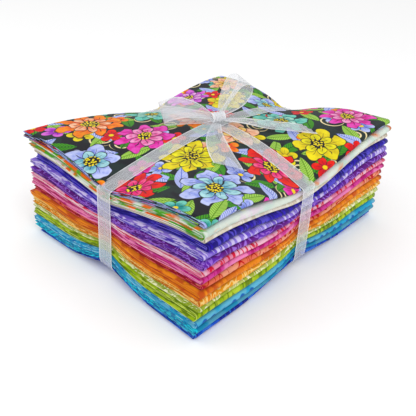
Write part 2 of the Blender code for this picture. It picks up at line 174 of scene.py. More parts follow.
def sheet_tree():
    """Tree that lays a sheet along a path: a grid with one column on each of the path's points.

    The path carries how far the sheet reaches across there, which way its pleats lift, and its run.
    """
    tree = bpy.data.node_groups.new("sheet_along_path", "GeometryNodeTree")
    wanted = (
        ("Path", "NodeSocketGeometry"),
        ("Columns", "NodeSocketInt"),
        ("Rows", "NodeSocketInt"),
        ("Pleats", "NodeSocketFloat"),
        ("Width", "NodeSocketFloat"),
        ("Material", "NodeSocketMaterial"),
    )
    for name, kind in wanted:
        tree.interface.new_socket(name, in_out="INPUT", socket_type=kind)
    tree.interface.new_socket("Sheet", in_out="OUTPUT", socket_type="NodeSocketGeometry")
    given = add(tree, "NodeGroupInput")
    grid = add(tree, "GeometryNodeMeshGrid", {"Vertices X": given["Columns"], "Vertices Y": given["Rows"]})
    index = add(tree, "GeometryNodeInputIndex")[0]
    in_columns = add(tree, "DIVIDE", (index, given["Rows"]))[0]
    column = add(tree, "FLOOR", (in_columns,))[0]
    row = add(tree, "MODULO", (index, given["Rows"]))[0]
    last_row = add(tree, "SUBTRACT", (given["Rows"], 1.0))[0]
    row_share = add(tree, "DIVIDE", (row, last_row))[0]
    across = add(tree, "SUBTRACT", (row_share, 0.5))[0]

    def on_path(value, kind):
        found = {"Geometry": given["Path"], "Value": value, "Index": column}
        return add(tree, "GeometryNodeSampleIndex", found, data_type=kind, domain="POINT")[0]

    place = on_path(add(tree, "GeometryNodeInputPosition")[0], "FLOAT_VECTOR")
    fields = {}
    for name, kind in (("across", "FLOAT_VECTOR"), ("lift", "FLOAT_VECTOR"), ("run", "FLOAT")):
        field = add(tree, "GeometryNodeInputNamedAttribute", {"Name": name}, data_type=kind)
        fields[name] = on_path(field[0], kind)
    turns = add(tree, "MULTIPLY", (across, given["Pleats"]))[0]
    turn = add(tree, "MULTIPLY", (turns, 2 * math.pi))[0]
    wave = add(tree, "SINE", (turn,))[0]
    reach = add(tree, "ShaderNodeVectorMath", {0: fields["across"], "Scale": across}, operation="SCALE")
    pleat = add(tree, "ShaderNodeVectorMath", {0: fields["lift"], "Scale": wave}, operation="SCALE")
    moved = add(tree, "ShaderNodeVectorMath", (reach[0], pleat[0]), operation="ADD")
    placed = add(tree, "ShaderNodeVectorMath", (place, moved[0]), operation="ADD")
    bent = add(tree, "GeometryNodeSetPosition", {"Geometry": grid[0], "Position": placed[0]})
    aside = add(tree, "MULTIPLY", (across, given["Width"]))[0]
    flat = add(tree, "ShaderNodeCombineXYZ", {"X": fields["run"], "Y": aside})[0]
    # Found on the points, because a face corner's own number isn't its point's
    on_points = {"Value": flat}
    flat = add(tree, "GeometryNodeFieldOnDomain", on_points, data_type="FLOAT_VECTOR", domain="POINT")[0]
    stored = {"Geometry": bent[0], "Name": "UVMap", "Value": flat}
    mapped = add(tree, "GeometryNodeStoreNamedAttribute", stored, data_type="FLOAT2", domain="CORNER")
    smooth = add(tree, "GeometryNodeSetShadeSmooth", {"Geometry": mapped[0]})
    joined = add(tree, "GeometryNodeMergeByDistance", {"Geometry": smooth[0], "Distance": MERGE_REACH})
    real = add(tree, "GeometryNodeRealizeInstances", {"Geometry": joined[0]})
    named = {"Geometry": real[0], "Material": given["Material"]}
    dressed = add(tree, "GeometryNodeSetMaterial", named)
    add(tree, "NodeGroupOutput", {"Sheet": dressed[0]})
    return tree


SHEET_ALONG_PATH = sheet_tree()


def made_plain(piece):
    """Turns what the piece's modifiers make into its own plain mesh."""
    evaluated = piece.evaluated_get(bpy.context.evaluated_depsgraph_get())
    mesh = bpy.data.meshes.new_from_object(evaluated)
    old = piece.data
    piece.modifiers.clear()
    piece.data = mesh
    mesh.name = piece.name
    bpy.data.meshes.remove(old)


def points_of(piece):
    """The places of a piece's points, a row for each."""
    places = np.empty(len(piece.data.vertices) * 3)
    piece.data.vertices.foreach_get("co", places)
    return places.reshape(-1, 3)


def move_points(piece, places):
    piece.data.vertices.foreach_set("co", places.ravel())
    piece.data.update()


def lay_sheet(name, course, across, lift, rows, pleats, width, material):
    """A sheet on a course of points, as a mesh without thickness. Returns its object and its run."""
    steps = np.linalg.norm(np.diff(course, axis=0), axis=1)
    run = np.concatenate(([0.0], np.cumsum(steps)))
    path = bpy.data.meshes.new(name)
    path.from_pydata(course.tolist(), [(i, i + 1) for i in range(len(course) - 1)], [])
    for field, values in (("across", across), ("lift", lift)):
        path.attributes.new(field, "FLOAT_VECTOR", "POINT").data.foreach_set("vector", values.ravel())
    path.attributes.new("run", "FLOAT", "POINT").data.foreach_set("value", run)
    piece = bpy.data.objects.new(name, path)
    bpy.context.scene.collection.objects.link(piece)
    modifier = piece.modifiers.new("sheet along path", "NODES")
    modifier.node_group = SHEET_ALONG_PATH
    values = {"Columns": len(course), "Rows": rows, "Pleats": pleats, "Width": width, "Material": material}
    for socket in SHEET_ALONG_PATH.interface.items_tree:
        if socket.in_out == "INPUT" and socket.name in values:
            modifier[socket.identifier] = values[socket.name]
    made_plain(piece)
    return piece, run[-1]


def thicken(piece, thickness):
    """Gives a sheet its thickness, half to each side."""
    wall = piece.modifiers.new("thickness", "SOLIDIFY")
    wall.thickness = thickness
    wall.offset = 0.0
    made_plain(piece)


LAYER_PAIRS = 4
PAIR_CLOSENESS = 0.33  # the two layers of a pair lie this share of the pairs' pitch apart
FOLD_BULGE = 1.15  # how far a fold stands out, in its own radii
END_RAGGEDNESS = 2.2 * MM
TUCK_POINTS = 3
ROUND_POINTS = 4


def fold_arc(centre_x, start, stop, side, points):
    """Points of a round fold from one layer's height to another's, bulging to this side."""
    radius = (stop - start) / 2
    angles = np.linspace(-math.pi / 2, math.pi / 2, points + 2)[1:-1]
    bulge = side * abs(radius) * FOLD_BULGE
    return [(centre_x + bulge * math.cos(a), (start + stop) / 2 + radius * math.sin(a)) for a in angles]


def fold_course(left, right, low, high, stations, rng):
    """Section of one folded cut: four layers nested in the wide fold, and the four that come back."""
    pitch = (high - low) / LAYER_PAIRS
    apart = pitch * PAIR_CLOSENESS
    levels = []
    for pair in range(LAYER_PAIRS):
        middle = low + pitch * (pair + 0.5)
        levels += [middle - apart / 2, middle + apart / 2]
    wide = (levels[-1] - levels[0]) / 2
    hub = right - wide * FOLD_BULGE
    # The order in which one length of cloth goes through the eight layers, bottom layer 0
    order = (0, 7, 6, 1, 2, 5, 4, 3)
    ends = left + rng.uniform(0, END_RAGGEDNESS, size=len(order))
    shape = []
    for turn, layer in enumerate(order):
        outward = turn % 2 == 0
        end = ends[0 if turn == 1 else turn]
        xs = np.linspace(end, hub, stations)
        height = levels[layer]
        run = [(x, height) for x in (xs if outward else xs[::-1])]
        if turn:
            before = levels[order[turn - 1]]
            if outward:
                shape += fold_arc(end, before, height, -1, TUCK_POINTS)
            else:
                points = ROUND_POINTS + 2 * abs(layer - order[turn - 1])
                shape += fold_arc(hub, before, height, 1, points)
        shape += run
    return np.array(shape)


SWELL_WAVES = 7
SWELL_HEIGHT = 2.6  # about how high that many waves stand together


def swell(points, size, depth, seed):
    """Smooth random swelling of soft cloth, from a few slow waves of about this size."""
    rng = np.random.default_rng(seed)
    total = np.zeros(len(points))
    for _ in range(SWELL_WAVES):
        way = rng.normal(size=3)
        way /= np.linalg.norm(way)
        phase = rng.uniform(0, 2 * math.pi)
        total += np.sin(points @ way * (2 * math.pi / size) + phase)
    return total * depth / SWELL_HEIGHT


RUN_STATIONS = 34
ROWS_ACROSS_CUT = 28
EDGE_WANDER = 1.2 * MM
EDGE_WAVES = (1.7, 1.9)  # layers to each wave of the front and the back edges
# The cloth is loose from this share of half the fold on, which leaves this share of it
LOOSE_FROM = 0.8
LOOSE_PART = 0.2
LOOSE_RISE = 4 * MM
# Waves of the loose layers: their length and depth
LAYER_WANDER = (70 * MM, 0.7 * MM)
LAYER_RIPPLE = (55 * MM, 0.25 * MM)
LAYER_STRETCH = (1, 1, 9)  # counts heights ninefold, so that each layer goes its own way
PRESS_DEPTH = 1.8 * MM
PRESS_REACH = 20 * MM
TIP_WAY = (0.75, 0.66)  # how far a tip is drawn out to the left and to the front, for each mm


def loose_share(off, half):
    return np.clip((np.abs(off) - LOOSE_FROM * half) / (LOOSE_PART * half), 0, 1) ** 2


shares_laid = [0.0]


def fold_cut(name, loft, reaches, material, stations=RUN_STATIONS, rows=ROWS_ACROSS_CUT, tip=0.0):
    """Folds one cut and lays it on those below. Reaches are how far it stands out past the fold's
    plan size at the left, right, front and back, and tip how far its front left corner is drawn out
    past those, in mm."""
    seed = len(shares_laid)
    rng = np.random.default_rng(seed)
    left, right, front, back = (reach * MM for reach in reaches)
    below = shares_laid[-1]
    above = below + loft / STACK_LOFT
    shares_laid.append(above)
    low = below * STACK_HEIGHT + CUT_GAP / 2
    high = above * STACK_HEIGHT - CUT_GAP / 2
    half_width = FOLD_WIDTH / 2
    half_depth = FOLD_DEPTH / 2
    section = fold_course(-half_width - left, half_width + right, low, high, stations, rng)
    count = len(section)
    steps = np.arange(count) / stations
    line = np.stack((steps, np.zeros(count), np.zeros(count)), axis=1)
    # Each kind of unevenness has seeds of its own
    front_edge = -half_depth - front + swell(line, EDGE_WAVES[0], EDGE_WANDER, seed + 40)
    back_edge = half_depth + back + swell(line, EDGE_WAVES[1], EDGE_WANDER, seed + 80)
    course = np.stack((section[:, 0], (front_edge + back_edge) / 2, section[:, 1]), axis=1)
    across = np.stack((np.zeros(count), back_edge - front_edge, np.zeros(count)), axis=1)
    no_lift = np.zeros((count, 3))
    piece, _ = lay_sheet("cloth_" + name, course, across, no_lift, rows, 0.0, FOLD_DEPTH, material)
    places = points_of(piece)
    x, y, z = places.T.copy()
    # Near their ends the layers wander a little, and the bands press them in where they cross
    at_side = loose_share(x, half_width)
    at_end = loose_share(y, half_depth)
    places[:, 0] += at_side * swell(places * LAYER_STRETCH, *LAYER_WANDER, seed + 120)
    pressed_x = np.where(x > 0, right, left) + PRESS_DEPTH
    pressed_y = np.where(y > 0, back, front) + PRESS_DEPTH
    places[:, 0] -= np.sign(x) * at_side * pressed_x * np.exp(-((y / PRESS_REACH) ** 2))
    places[:, 1] -= np.sign(y) * at_end * pressed_y * np.exp(-((x / PRESS_REACH) ** 2))
    to_corner = np.clip(-x / half_width, 0, 1) * np.clip(-y / half_depth, 0, 1)
    places[:, :2] -= (to_corner**3)[:, None] * (np.array(TIP_WAY) * tip * MM)
    loose = np.maximum(at_side, at_end) * np.clip((z - low) / LOOSE_RISE, 0, 1)
    places[:, 2] += loose * swell(places, *LAYER_RIPPLE, seed // 2 + 160)
    places = tied(places)
    places[:, 2] = np.maximum(places[:, 2], CLOTH_THICKNESS)
    move_points(piece, places)
    thicken(piece, CLOTH_THICKNESS)
    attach(piece, "root")
    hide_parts("cut_" + name)


def linear(hex_code):
    """An sRGB hex colour as linear red, green, blue and alpha."""
    channels = [int(hex_code[i : i + 2], 16) / 255 for i in (1, 3, 5)]
    return (*[c / 12.92 if c <= 0.04045 else ((c + 0.055) / 1.055) ** 2.4 for c in channels], 1.0)


def painted(tree, below, above, mask):
    """Paints one colour over another where the mask is 1."""
    return add(tree, "ShaderNodeMix", {0: mask, 6: below, 7: above}, data_type="RGBA")[2]


def cut_off(tree, value, low, high):
    """A mask that rises from 0 at low to 1 at high."""
    limits = {"Value": value, "From Min": low, "From Max": high}
    return add(tree, "ShaderNodeMapRange", limits, interpolation_type="SMOOTHSTEP", clamp=False)[0]


def shifted(tree, place, size, shift, turn=0.0, stretch=1.0):
    """The cloth's own place in mm, counted in motifs of this size, drawn out lengthwise and turned."""
    made = {
        "Vector": place,
        "Location": (shift, shift * 0.37, 0.0),
        "Rotation": (0.0, 0.0, turn),
        "Scale": (1 / (size * stretch), 1 / size, 1.0),
    }
    return add(tree, "ShaderNodeMapping", made)[0]


NOISE_SPREAD = 0.3  # a noise's values lie about this far apart


def covering(tree, noise, low, high, cover):
    """The part of a noise that stands above a level, which falls as the cover grows."""
    fall = cover * NOISE_SPREAD
    return cut_off(tree, noise, low - fall, high - fall)


def strokes(tree, place, size, cover, shift):
    """Brush strokes along the cloth's length, about four times as long as they are wide."""
    spots = shifted(tree, place, size, shift, stretch=4.0)
    paint = add(tree, NOISE, {"Vector": spots, "Scale": 1.0, "Detail": 2.0, "Distortion": 0.3})[0]
    return covering(tree, paint, 0.62, 0.68, cover)


def patches(tree, place, size, cover, shift):
    """Blotches with soft edges, as in a wash of dye."""
    spots = shifted(tree, place, size, shift)
    paint = add(tree, NOISE, {"Vector": spots, "Scale": 1.0, "Detail": 3.0, "Distortion": 0.6})[0]
    return covering(tree, paint, 0.6, 0.7, cover)


SWIRL_FIELD = 2.2  # sizes of the motif to each swell of the field that its lines follow
SWIRL_LINES = 9.0  # lines through the whole range of that field


def swirls(tree, place, size, cover, shift):
    """Thin curling lines, as in marbled paper."""
    spots = shifted(tree, place, size * SWIRL_FIELD, shift)
    field = add(tree, NOISE, {"Vector": spots, "Scale": 1.0, "Detail": 0.5, "Distortion": 1.6})[0]
    turns = add(tree, "MULTIPLY", (field, SWIRL_LINES))[0]
    wave = add(tree, "PINGPONG", (turns, 1.0))[0]
    return cut_off(tree, wave, 0.92 - cover * 0.6, 1.0 - cover * 0.6)


def dots(tree, place, size, cover, shift):
    """Round dots in nearly even rows."""
    spots = {"Vector": shifted(tree, place, size, shift), "Scale": 1.0, "Randomness": 0.25}
    off = add(tree, "ShaderNodeTexVoronoi", spots)["Distance"]
    radius = cover * 0.6
    return cut_off(tree, off, radius + 0.04, radius - 0.04)


def checks(tree, place, size, cover, shift):
    """Small uneven squares, as cut by hand from sponge."""
    spots = {"Vector": shifted(tree, place, size, shift, turn=0.1), "Scale": 1.0, "Randomness": 0.4}
    off = add(tree, "ShaderNodeTexVoronoi", spots, distance="CHEBYCHEV")["Distance"]
    half = cover * 0.6
    return cut_off(tree, off, half + 0.05, half - 0.05)


def cloth_place(tree):
    """The place on the cloth laid flat, in mm: X along its length and Y across it."""
    laid_flat = add(tree, "ShaderNodeUVMap", uv_map="UVMap")[0]
    return add(tree, "ShaderNodeMapping", {"Vector": laid_flat, "Scale": (1 / MM, 1 / MM, 1.0)})[0]


# How far from the cloth's middle line the print of its ends and its cut edges start and are full, in mm
END_BORDER = (133.0, 138.0)
CUT_EDGE = (139.1, 139.4)


def off_middle(tree, place):
    """How far off the cloth's middle line this place is."""
    across = add(tree, "ShaderNodeSeparateXYZ", (place,))["Y"]
    return add(tree, "ABSOLUTE", (across,))[0]


def at_ends(motif):
    """The same motif, but only on the last centimetre before the layered ends."""

    def bordered(tree, place, size, cover, shift):
        mask = motif(tree, place, size, cover, shift)
        near = cut_off(tree, off_middle(tree, place), *END_BORDER)
        return add(tree, "MULTIPLY", (mask, near))[0]

    return bordered


def cut_edges(tree, place, colour, deep, pale, run):
    """The cut edges of the layers, which show the print's deep and pale dyes in runs of this length."""
    off = off_middle(tree, place)
    runs = shifted(tree, place, run, 3.0)
    tone = add(tree, NOISE, {"Vector": runs, "Scale": 1.0, "Detail": 1.0})[0]
    thread = painted(tree, linear(deep), linear(pale), cut_off(tree, tone, 0.45, 0.55))
    return painted(tree, colour, thread, cut_off(tree, off, *CUT_EDGE))


def new_material(name):
    """A material with its standard surface alone. Returns it, its tree and that surface."""
    material = bpy.data.materials.new(name)
    material.use_nodes = True
    return material, material.node_tree, material.node_tree.nodes["Principled BSDF"]


def thread_waves(tree, place, pitch):
    """Two waves, for the threads that run each way and lie this far apart."""
    parts = add(tree, "ShaderNodeSeparateXYZ", (place,))
    waves = []
    for axis in ("X", "Y"):
        turn = add(tree, "MULTIPLY", (parts[axis], 2 * math.pi / pitch))[0]
        waves.append(add(tree, "SINE", (turn,))[0])
    return waves


WEAVE_PITCH = 0.9  # mm


def finish_cotton(tree, surface, place, colour):
    """Weave, fading and surface shared by every cotton print.

    Threads lie 0.35 mm apart, which is too fine to show, so the weave is drawn at 0.9 mm.
    """
    crossing = add(tree, "MULTIPLY", thread_waves(tree, place, WEAVE_PITCH))[0]
    washed = add(tree, NOISE, {"Vector": place, "Scale": 0.05, "Detail": 4.0})[0]
    fade = cut_off(tree, washed, 0.3, 0.75)
    light = add(tree, "ShaderNodeMapRange", {"Value": fade, "To Min": 0.8, "To Max": 0.93})[0]
    toned = {"Color": colour, "Saturation": 1.12, "Value": light}
    woven = {"Height": crossing, "Strength": 0.12, "Distance": 0.12 * MM}
    fill(tree, surface, {
        "Base Color": add(tree, "ShaderNodeHueSaturation", toned)[0],
        "Normal": add(tree, "ShaderNodeBump", woven)[0],
        "Roughness": 0.86,
        "Specular IOR Level": 0.25,
        "Sheen Weight": 0.05,
        "Sheen Roughness": 0.6,
    })


def printed_cotton(name, ground, edges, motifs):
    """Quilting cotton: matt, plain woven, printed in flat dyes, with a faint bloom of loose fibre.

    Edges are the deep and pale dyes of the cut edges and how long their runs are in mm. Each motif is
    what paints it, its colour, its size in mm, the share it covers and its shift.
    """
    material, tree, surface = new_material("printed_quilting_cotton_" + name)
    place = cloth_place(tree)
    colour = linear(ground)
    for motif, tint, size, cover, shift in motifs:
        colour = painted(tree, colour, linear(tint), motif(tree, place, size, cover, shift))
    finish_cotton(tree, surface, place, cut_edges(tree, place, colour, *edges))
    return material


def printed_cut(name, loft, reaches, *cloth):
    """Prints one cut's cloth and folds it on those below."""
    fold_cut(name, loft, reaches, printed_cotton(name, *cloth))


printed_cut("royal_blue", 1.05, (-2.6, -1.6, -2.0, 0.0), "#3a5fd0", ("#14207c", "#6b96ee", 12), (
    (patches, "#5b86e0", 20, 0.5, 1.0),
    (strokes, "#17248f", 6, 0.42, 3.0),
))
printed_cut("steel_teal", 1.00, (0.6, 0.5, 0.4, 0.4), "#5d9fb8", ("#0f66b2", "#62dcec", 6), (
    (patches, "#3f8fb4", 26, 0.5, 5.0),
    (at_ends(checks), "#4fd0e2", 7, 0.5, 7.0),
))
printed_cut("light_teal", 1.00, (0.8, 1.2, 0.8, 0.6), "#74bcdc", ("#1f80c4", "#a6e2f2", 7), (
    (patches, "#4fa9d4", 26, 0.45, 9.0),
    (dots, "#1a5fb4", 12, 0.55, 11.0),
))

# Green cuts: lime with pale blotches and darker strokes, and a thinner pale green with fine cream
# swirls. Both are the same cotton and fold as the blues.
printed_cut("lime", 1.08, (1.0, 0.8, 0.6, 1.0), "#9fbf2e", ("#5f8010", "#d6e67a", 20), (
    (patches, "#b9cf55", 18, 0.5, 2.0),
    (strokes, "#6d8a18", 4, 0.42, 6.0),
))
printed_cut("light_green", 0.90, (1.2, 1.2, 0.4, 1.2), "#c0cb78", ("#8fa83a", "#eef0c8", 12), (
    (patches, "#a3b650", 20, 0.45, 4.0),
    (swirls, "#eef2cf", 7, 0.4, 8.0),
))

# Orange cuts: golden with pale swirls, dark orange with lighter strokes on rust patches, and peach
# with red swirls. They stand out further at the round folds than the cuts below them.
printed_cut("golden", 1.02, (1.4, 2.2, 1.0, 2.0), "#e8a13c", ("#c46c06", "#fcd98c", 25), (
    (patches, "#e98c1e", 20, 0.45, 1.5),
    (swirls, "#fbdc96", 7, 0.4, 3.5),
))
printed_cut("dark_orange", 1.00, (2.0, 2.6, 1.6, 1.6), "#dd781c", ("#bc3c12", "#f89a34", 30), (
    (strokes, "#f0953a", 5, 0.5, 5.5),
    (patches, "#c8540f", 16, 0.35, 7.5),
))
printed_cut("peach", 1.04, (-1.4, 1.8, -0.8, 2.0), "#efa98c", ("#9a0c26", "#e87476", 9), (
    (patches, "#e6846c", 22, 0.5, 9.5),
    (swirls, "#c41c1c", 10, 0.34, 11.5),
    (at_ends(patches), "#ac122c", 20, 0.8, 12.5),
))

# Pink cuts: a thin hot pink with darker strokes, and pale pink with red brush strokes. Both are the
# same cotton and fold as the rest.
printed_cut("hot_pink", 0.88, (0.8, 2.6, 0.4, 2.2), "#d45ca0", ("#b01e5c", "#f6a4c6", 30), (
    (strokes, "#b82c76", 6, 0.42, 1.2),
    (patches, "#ee92c2", 18, 0.42, 2.4),
))
printed_cut("light_pink", 1.00, (0.2, 2.4, 0.0, 2.4), "#f3c2d2", ("#e07896", "#fdeef3", 40), (
    (patches, "#ec96b2", 20, 0.42, 3.6),
    (strokes, "#dc3c50", 3.5, 0.34, 4.8),
))

# Violet cuts: purple with pale swirls, lilac with paler strokes, and indigo with navy strokes. They
# are the same cotton and fold, in deeper dyes.
printed_cut("purple", 1.04, (-0.2, 3.0, 0.2, 2.6), "#7047b2", ("#43166a", "#a674d2", 25), (
    (patches, "#672a82", 22, 0.55, 1.1),
    (swirls, "#a47ad8", 7, 0.42, 2.2),
))
printed_cut("lilac", 1.00, (-0.4, 2.6, -0.4, 2.0), "#9a86dc", ("#5846b2", "#d8ccf6", 12), (
    (patches, "#7d66cc", 16, 0.5, 3.3),
    (strokes, "#d9cff8", 4, 0.42, 4.4),
))
printed_cut("indigo", 1.02, (-4.4, 2.4, -3.6, 2.0), "#483fb6", ("#281e90", "#857be4", 30), (
    (patches, "#6a63cf", 18, 0.45, 6.6),
    (strokes, "#2a237c", 3.5, 0.46, 5.5),
))

# Pale cuts: cream with faint blotches and strokes, and pale mint with pastel and orange patches and
# green ends. The mint one is the thickest fold of the stack and stands out past the one above it.
printed_cut("cream", 0.90, (-2.6, 0.4, -2.6, 1.0), "#e8dfd1", ("#b9ae9c", "#fbf8f1", 60), (
    (patches, "#dccfbb", 34, 0.45, 1.3),
    (strokes, "#f4efe4", 6, 0.4, 2.6),
))
printed_cut("mint", 1.16, (-1.0, 3.0, 1.0, 2.4), "#dce5da", ("#4f9a38", "#f6f3e6", 30), (
    (patches, "#c9ddd2", 34, 0.4, 3.9),
    (patches, "#e2d6df", 30, 0.25, 5.2),
    (patches, "#f08448", 24, -0.07, 7.8),
    (at_ends(patches), "#5aa53c", 26, 0.55, 6.5),
    (at_ends(patches), "#ee6a26", 22, 0.4, 9.1),
))

# Floral cut, the top one. Its generic print has large blossoms, leaves and curls on a near-black
# ground. Its fold stops a few millimetres short of the mint one's.
GROUND = "#11131b"
PRINT_REPEAT = 300  # mm
TOP_LAYER_START = 236  # mm of cloth before the top layer's +X end


def nearest_blossom(tree, x, y):
    """The blossom that lies on top here: the place from its middle in its own radii, half of its
    number of petals, and its share along the list of colours."""
    kept = [9.0, 9.0, 3.0, 0.0]  # far outside any blossom
    for centre, radius, petals, colours in BLOSSOMS:
        off_x, off_y = [
            add(tree, "MULTIPLY_ADD", (along, 1 / radius, -middle / radius))[0]
            for along, middle in zip((x, y), centre)
        ]
        square_x = add(tree, "MULTIPLY", (off_x, off_x))[0]
        square = add(tree, "MULTIPLY_ADD", (off_y, off_y, square_x))[0]
        inside = add(tree, "LESS_THAN", (square, 1.0))[0]
        found = (off_x, off_y, petals / 2, (colours + 0.5) / len(PETAL_COLOURS))
        kept = [
            add(tree, "ShaderNodeMix", {0: inside, 2: before, 3: after})[0]
            for before, after in zip(kept, found)
        ]
    return kept


def petal_colour(tree, share, which):
    """One of the four dyes of the blossom whose share along the list of colours this is."""
    dye = add(tree, "ShaderNodeValToRGB", (share,))[0]
    ramp = dye.node.color_ramp
    ramp.interpolation = "CONSTANT"
    for number, colours in enumerate(PETAL_COLOURS):
        stop = ramp.elements.new(number / len(PETAL_COLOURS)) if number else ramp.elements[0]
        stop.position = number / len(PETAL_COLOURS)
        stop.color = linear(colours[which])
    ramp.elements.remove(ramp.elements[-1])
    return dye


SEED_YELLOW = "#f6d84a"
VEIN_SLOPE = 0.9
VEIN_SPACING = 1.3  # mm
# Dark lines of a petal, in the blossom's own radii: full up to the first place, gone at the second
SEAM = (0.012, 0.03)
RIM = (0.03, 0.06)
RIB = (0.004, 0.014)
RIB_REACH = (0.6, 0.75)
PETAL_EDGE = (0.0, 0.02)
PETAL_TONES = (0.8, 1.7)  # from the deep dye to the pale one
PETAL_GRAIN = 1.3  # how much its streaks add to that tone
PETAL_BLUNTNESS = 0.75


def ring_of_petals(tree, below, far, way, half_petals, reach, turn, grain, deep, pale):
    """One ring of petals, dark at its rim, in the seams between petals and down each midrib."""
    angle = add(tree, "MULTIPLY_ADD", (way, half_petals, turn))[0]
    lobe, rib = [
        add(tree, "ABSOLUTE", (add(tree, wave, (angle,))[0],))[0]
        for wave in ("COSINE", "SINE")
    ]
    bulge = add(tree, "POWER", (lobe, PETAL_BLUNTNESS))[0]
    rim = add(tree, "MULTIPLY_ADD", (bulge, reach * 0.5, reach * 0.5))[0]
    inside = add(tree, "SUBTRACT", (rim, far))[0]
    off_lines = [add(tree, "MULTIPLY", (wave, far))[0] for wave in (lobe, rib)]
    off_seam, off_rib = [add(tree, "DIVIDE", (off, half_petals))[0] for off in off_lines]
    outward = add(tree, "MULTIPLY", (far, 1 / reach))[0]
    tone = add(tree, "MULTIPLY_ADD", (grain, PETAL_GRAIN, outward))[0]
    petal = painted(tree, deep, pale, cut_off(tree, tone, *PETAL_TONES))
    beside_seam = (cut_off(tree, off_seam, *SEAM), cut_off(tree, inside, *RIM))
    clear = add(tree, "MULTIPLY", beside_seam)[0]
    beside_rib = (cut_off(tree, off_rib, *RIB), cut_off(tree, outward, *RIB_REACH))
    ribbed = add(tree, "MAXIMUM", beside_rib)[0]
    clear = add(tree, "MULTIPLY", (clear, ribbed))[0]
    drawn = painted(tree, linear(GROUND), petal, clear)
    return painted(tree, below, drawn, cut_off(tree, inside, *PETAL_EDGE))


def scattered(tree, place, spacing, shift):
    """Local places round points strewn over the cloth, each turned at random. Gives the place, its X
    and Y, and a random value for each point."""
    moved = {"Vector": place, "Location": (shift, shift * 1.7, 0.0)}
    moved = add(tree, "ShaderNodeMapping", moved)[0]
    strewn = {"Vector": moved, "Scale": 1 / spacing, "Randomness": 0.75}
    cells = add(tree, "ShaderNodeTexVoronoi", strewn, voronoi_dimensions="2D")
    local = add(tree, "ShaderNodeVectorMath", (moved, cells["Position"]), operation="SUBTRACT")[0]
    random = add(tree, "ShaderNodeSeparateColor", (cells["Color"],))
    angle = add(tree, "MULTIPLY", (random[0], 2 * math.pi))[0]
    spun = {"Vector": local, "Angle": angle}
    turned = add(tree, "ShaderNodeVectorRotate", spun, rotation_type="Z_AXIS")[0]
    parts = add(tree, "ShaderNodeSeparateXYZ", (turned,))
    return turned, parts["X"], parts["Y"], random[1]


def leaves(tree, place, below, spacing, shift, length, width, deep, pale):
    """Pointed leaves with a midrib and side veins. Sizes in mm."""
    _, x, y, _ = scattered(tree, place, spacing, shift)
    along = add(tree, "MULTIPLY", (x, 2 / length))[0]
    square = add(tree, "MULTIPLY", (along, along))[0]
    half = add(tree, "MULTIPLY_ADD", (square, -width / 2, width / 2))[0]
    aside = add(tree, "ABSOLUTE", (y,))[0]
    inside = add(tree, "SUBTRACT", (half, aside))[0]
    slope = add(tree, "MULTIPLY_ADD", (aside, VEIN_SLOPE, x))[0]
    ribs = add(tree, "PINGPONG", (slope, VEIN_SPACING))[0]
    off_veins = (cut_off(tree, ribs, 0.1, 0.6), cut_off(tree, aside, 0.2, 0.6))
    veined = add(tree, "MULTIPLY", off_veins)[0]
    blade = painted(tree, linear(deep), linear(pale), veined)
    return painted(tree, below, blade, cut_off(tree, inside, 0.0, 0.5))


def curls(tree, place, below, spacing, shift, pitch, colour):
    """Curled tendrils, thin spirals of two turns. Sizes in mm."""
    local, x, y, _ = scattered(tree, place, spacing, shift)
    far = add(tree, "ShaderNodeVectorMath", (local,), operation="LENGTH")["Value"]
    way = add(tree, "ARCTAN2", (y, x))[0]
    turned = add(tree, "MULTIPLY", (way, pitch / (2 * math.pi)))[0]
    wound = add(tree, "ADD", (far, turned))[0]
    off_line = add(tree, "WRAP", (wound, -pitch / 2, pitch / 2))[0]
    near = add(tree, "ABSOLUTE", (off_line,))[0]
    drawn = (cut_off(tree, near, 1.1, 0.5), cut_off(tree, far, pitch * 2.3, pitch * 2.2))
    mask = add(tree, "MULTIPLY", drawn)[0]
    return painted(tree, below, linear(colour), mask)


def small_blossoms(tree, place, below, spacing, shift, radius, grain):
    """Small blossoms of five petals, strewn between the large ones."""
    local, x, y, random = scattered(tree, place, spacing, shift)
    length = add(tree, "ShaderNodeVectorMath", (local,), operation="LENGTH")["Value"]
    far = add(tree, "MULTIPLY", (length, 1 / radius))[0]
    way = add(tree, "ARCTAN2", (y, x))[0]
    deep, pale = [petal_colour(tree, random, which) for which in range(2)]
    drawn = ring_of_petals(tree, below, far, way, 5 / 2, 1.0, 0.0, grain, deep, pale)
    return painted(tree, drawn, linear(SEED_YELLOW), cut_off(tree, far, 0.22, 0.14))


# Dyes of a blossom: its outer petals, deep and pale, and its inner ones, deep and pale
PETAL_COLOURS = (
    ("#d0b400", "#f3e21a", "#c2b800", "#f7ee58"),
    ("#f2501f", "#fb9c44", "#f07a4a", "#fbd3b4"),
    ("#d22a86", "#ee6ec6", "#e35c9c", "#fbb4dc"),
    ("#2f8f8c", "#86d6c2", "#3f9c98", "#c2ecd8"),
    ("#8090e0", "#ccd4fa", "#5a9cb8", "#b9e4e8"),
    ("#cc1028", "#f3382c", "#e0307c", "#f87a9c"),
    ("#ee9070", "#fbd6b8", "#e8a24a", "#f8e0a0"),
    ("#a63cc0", "#e884e0", "#c85ccf", "#f8c4f0"),
)
